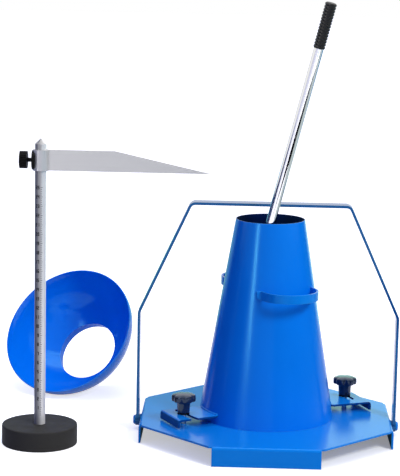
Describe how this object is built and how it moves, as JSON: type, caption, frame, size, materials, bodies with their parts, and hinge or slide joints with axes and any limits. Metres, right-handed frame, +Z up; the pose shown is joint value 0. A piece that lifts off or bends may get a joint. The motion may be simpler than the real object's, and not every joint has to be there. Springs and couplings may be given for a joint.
{
  "type": "slump cone",
  "caption": "Concrete slump test kit: a blue mould cone clamped on an octagonal base with a swinging bail, a tamping rod in its mouth, a height gauge with a pointer and a filling funnel.",
  "frame": {"origin": "on the floor under the axis of the mould cone", "axes": "+Z up along the cone's axis, +X to the right across the bail's pivots, +Y away from the viewer"},
  "size_m": [0.63, 0.5175, 0.6524],
  "materials": {
    "blue_paint": "smooth gloss enamel",
    "zinc_steel": "zinc plated",
    "black_plastic": "moulded, slightly glossy",
    "brass": "turned",
    "bright_steel": "polished",
    "black_rubber": "ribbed, matt",
    "charcoal_iron": "fine black texture coat",
    "satin_steel": "satin ground",
    "black_steel": "blackened"
  },
  "bodies": {
    "base": {"base_plate": "blue_paint", "bail_bolts": "zinc_steel", "bail_nuts": "zinc_steel", "bail_spacers": "zinc_steel", "clamp_stud_left": "zinc_steel", "clamp_stud_right": "zinc_steel"},
    "bail": {"bail_strap": "blue_paint"},
    "cone": {"cone_shell": "blue_paint", "cone_handle_front": "blue_paint", "cone_handle_rear": "blue_paint", "cone_foot_left": "blue_paint", "cone_foot_right": "blue_paint"},
    "washer_left": {"clamp_washer_left": "black_steel"},
    "washer_right": {"clamp_washer_right": "black_steel"},
    "knob_left": {"clamp_knob_left": "black_plastic", "clamp_insert_left": "brass"},
    "knob_right": {"clamp_knob_right": "black_plastic", "clamp_insert_right": "brass"},
    "rod": {"rod_bar": "bright_steel", "rod_grip": "black_rubber"},
    "gauge_stand": {"gauge_base": "charcoal_iron", "gauge_column": "satin_steel", "gauge_base_screw": "zinc_steel"},
    "slider": {"gauge_slider": "satin_steel", "pointer_blade": "satin_steel"},
    "lock_pad": {"lock_disc": "black_steel"},
    "lock_handle": {"lock_screw": "black_steel", "lock_knob": "black_plastic"},
    "funnel": {"funnel_bowl": "blue_paint", "funnel_collar": "blue_paint"}
  },
  "joints": [
    {"name": "bail_swing", "type": "hinge", "parent": "base", "child": "bail", "pos_m": [0, 0, 0.01425], "axis": [-1, 0, 0], "range_deg": [0, 90]},
    {"name": "cone_twist", "type": "hinge", "parent": "base", "child": "cone", "pos_m": [0, 0, 0.0285], "axis": [0, 0, 1], "range_deg": [-22, 8]},
    {"name": "knob_left_climb", "type": "slide", "parent": "base", "child": "washer_left", "axis": [0, 0, 1], "range_m": [0, 0.00375]},
    {"name": "knob_left_turn", "type": "hinge", "parent": "washer_left", "child": "knob_left", "pos_m": [-0.12273, -0.06526, 0.0449], "axis": [0, 0, 1], "range_deg": [0, 1150]},
    {"name": "knob_right_climb", "type": "slide", "parent": "base", "child": "washer_right", "axis": [0, 0, 1], "range_m": [0, 0.00375]},
    {"name": "knob_right_turn", "type": "hinge", "parent": "washer_right", "child": "knob_right", "pos_m": [0.12273, 0.06526, 0.0449], "axis": [0, 0, 1], "range_deg": [0, 1150]},
    {"name": "rod_draw", "type": "slide", "parent": "cone", "child": "rod", "axis": [0.2297, -0.1376, 0.9635], "range_m": [0, 0.36]},
    {"name": "gauge_lift", "type": "slide", "parent": "base", "child": "gauge_stand", "axis": [0, 0, 1], "range_m": [0, 0.15]},
    {"name": "pointer_slide", "type": "slide", "parent": "gauge_stand", "child": "slider", "axis": [0, 0, 1], "range_m": [-0.3, 0]},
    {"name": "lock_travel", "type": "slide", "parent": "slider", "child": "lock_pad", "axis": [-1, 0, 0], "range_m": [0, 0.003]},
    {"name": "lock_turn", "type": "hinge", "parent": "lock_pad", "child": "lock_handle", "pos_m": [-0.35, -0.088, 0.42], "axis": [-1, 0, 0], "range_deg": [0, 1150]},
    {"name": "funnel_lift", "type": "slide", "parent": "base", "child": "funnel", "axis": [0, 0, 1], "range_m": [0, 0.15]}
  ],
  "couplings": [
    {"joint": "knob_left_turn", "follows": "knob_left_climb", "rad_per_m": 5026.5},
    {"joint": "knob_right_turn", "follows": "knob_right_climb", "rad_per_m": 5026.5},
    {"joint": "lock_turn", "follows": "lock_travel", "rad_per_m": 6283.2}
  ]
}
